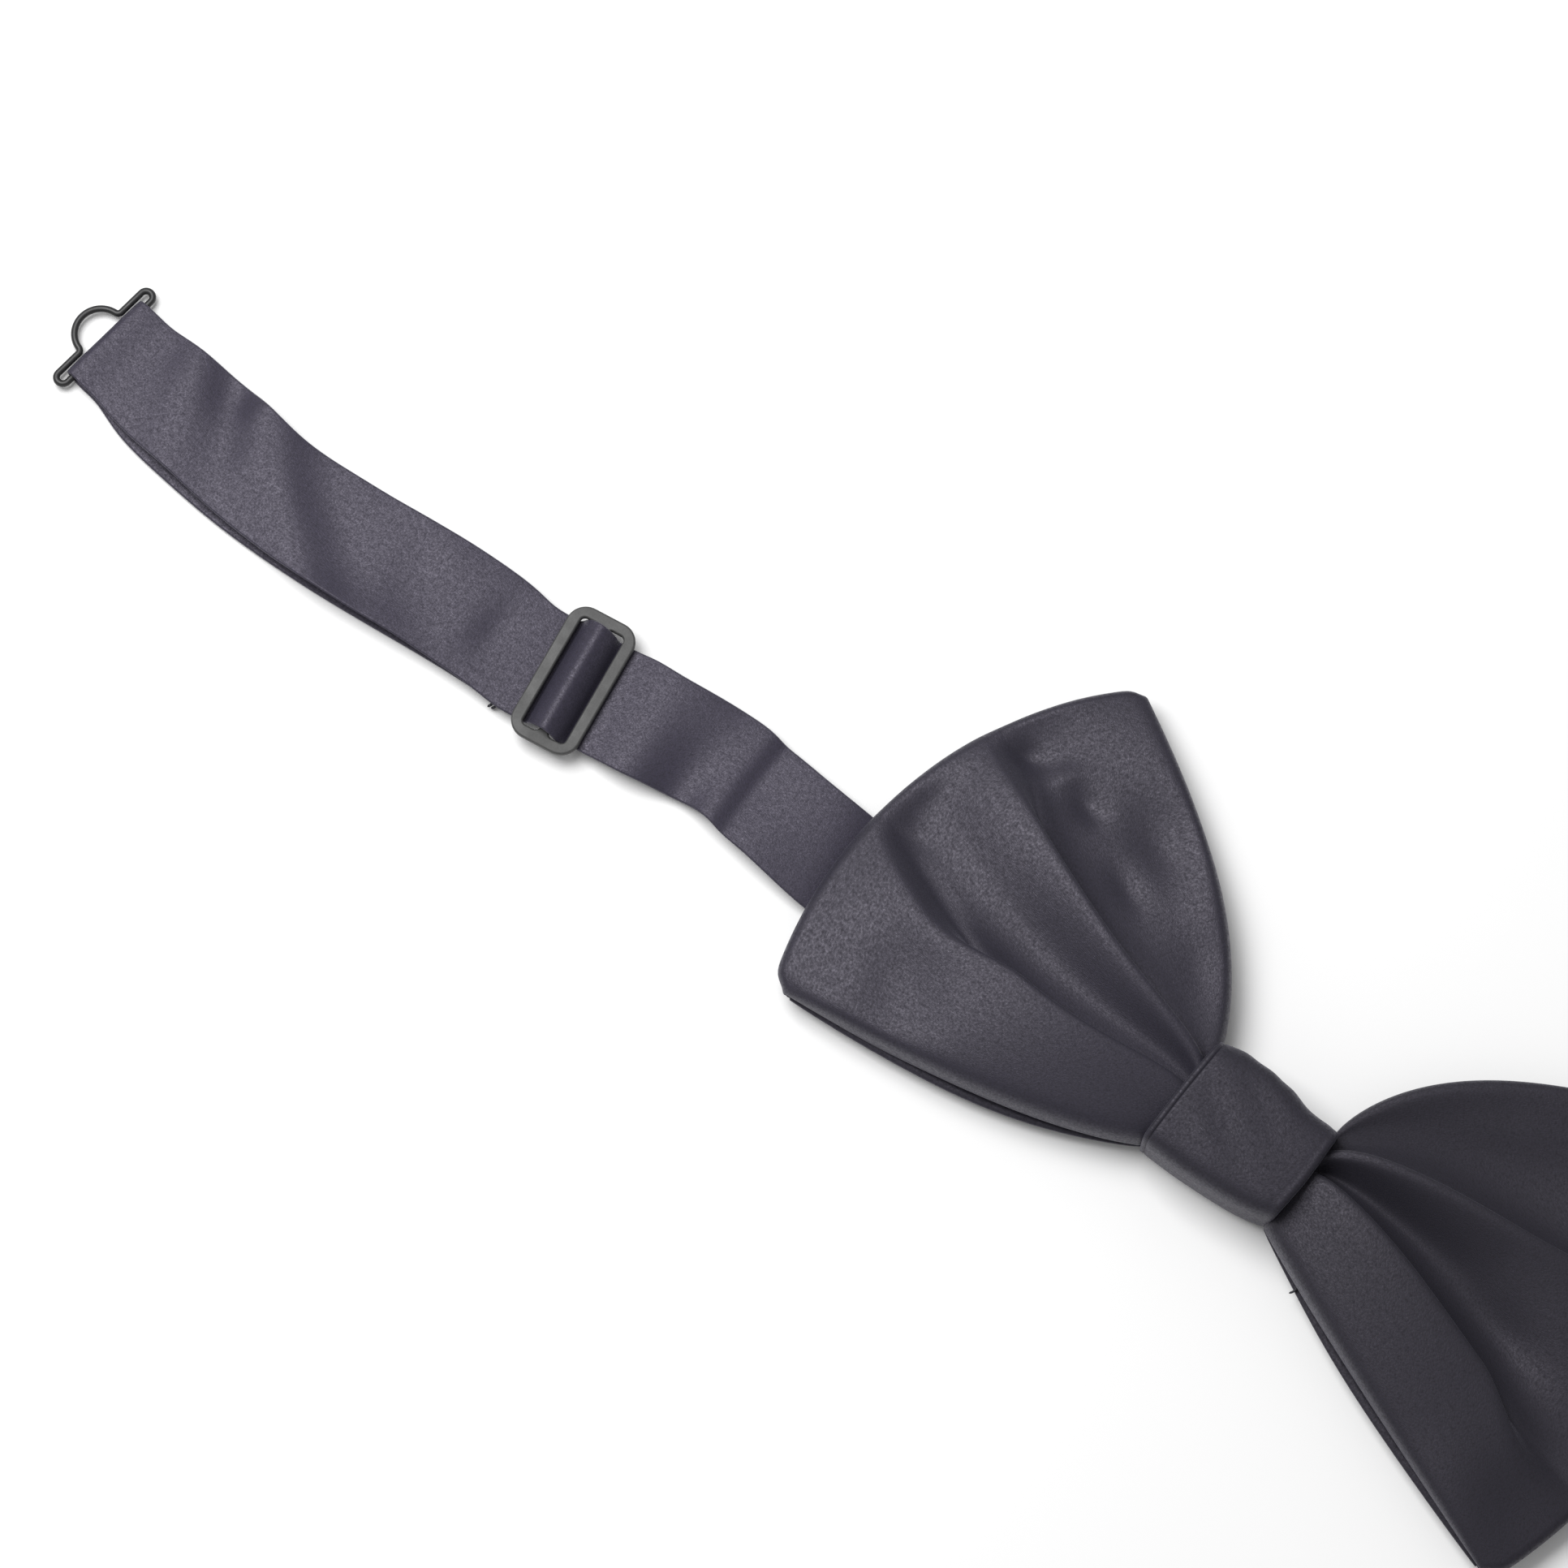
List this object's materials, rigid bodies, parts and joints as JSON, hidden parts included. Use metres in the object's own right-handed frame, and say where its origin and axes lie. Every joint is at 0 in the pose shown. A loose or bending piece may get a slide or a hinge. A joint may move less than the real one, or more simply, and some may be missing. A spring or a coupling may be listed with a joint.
{
  "type": "bow tie",
  "caption": "Pre-tied pleated satin bow tie on an adjustable neckband, with a wire eye, a slide adjuster and a hook that fastens behind the neck.",
  "frame": {"origin": "on the resting plane, at the back face of the knot, on the bow's middle line", "axes": "+X along the neckband towards the hook, +Y towards the wings' upper edges, +Z out of the front of the bow"},
  "size_m": [0.3997, 0.0654, 0.0138],
  "materials": {
    "satin": "satin weave, soft sheen, charcoal grey",
    "band_satin": "satin weave, soft sheen, charcoal grey",
    "interlining": "plain woven, matte",
    "thread": "twisted polyester thread, low sheen",
    "black_metal": "black enamel, semi-gloss"
  },
  "bodies": {
    "bow": {"knot_wrap": "satin", "knot_interlining": "interlining", "knot_back_stitches": "thread", "bow_centre_gather": "satin", "gather_thread": "thread", "band_centre": "satin", "band_anchor_stitches": "thread", "bow_left_front_ply": "satin", "bow_left_interlining": "interlining", "bow_left_back_ply": "satin", "bow_right_front_ply": "satin", "bow_right_interlining": "interlining", "bow_right_back_ply": "satin"},
    "left_band": {"band_left_inner": "band_satin", "band_left_run": "band_satin"},
    "adjuster": {"adjuster_slide": "black_metal", "band_weave": "band_satin", "band_tail_loop": "band_satin", "tail_bar_tack": "thread", "band_left_outer": "band_satin", "band_tail": "band_satin"},
    "eye_turn": {"band_eye_fold": "band_satin"},
    "eye": {"eye_fitting": "black_metal"},
    "right_band": {"band_right": "band_satin", "band_right_fold": "band_satin", "hook_bar_tack": "thread"},
    "hook": {"hook_fitting": "black_metal"}
  },
  "joints": [
    {"name": "left_band_fold", "type": "hinge", "parent": "bow", "child": "left_band", "pos_m": [-0.011, 0, 0.00175], "axis": [0, -1, 0], "range_deg": [0, 90]},
    {"name": "adjuster_travel", "type": "slide", "parent": "left_band", "child": "adjuster", "axis": [-1, 0, 0], "range_m": [-0.02, 0.08], "deforming": ["band_left_run"]},
    {"name": "eye_turn_travel", "type": "slide", "parent": "adjuster", "child": "eye_turn", "axis": [-1, 0, 0], "range_m": [-0.0401, 0.0101], "deforming": ["band_left_outer", "band_tail"]},
    {"name": "eye_swing", "type": "hinge", "parent": "eye_turn", "child": "eye", "pos_m": [-0.1967, -0.0074, 0.00125], "axis": [0.0872, 0.9962, 0], "range_deg": [-100, 100]},
    {"name": "right_band_fold", "type": "hinge", "parent": "bow", "child": "right_band", "pos_m": [0.011, 0, 0.00175], "axis": [0, 1, 0], "range_deg": [0, 90]},
    {"name": "hook_swing", "type": "hinge", "parent": "right_band", "child": "hook", "pos_m": [0.186, -0.001, 0.00125], "axis": [0, 1, 0], "range_deg": [-100, 100]}
  ],
  "couplings": [
    {"joint": "eye_turn_travel", "follows": "adjuster_travel", "ratio": -0.5}
  ]
}
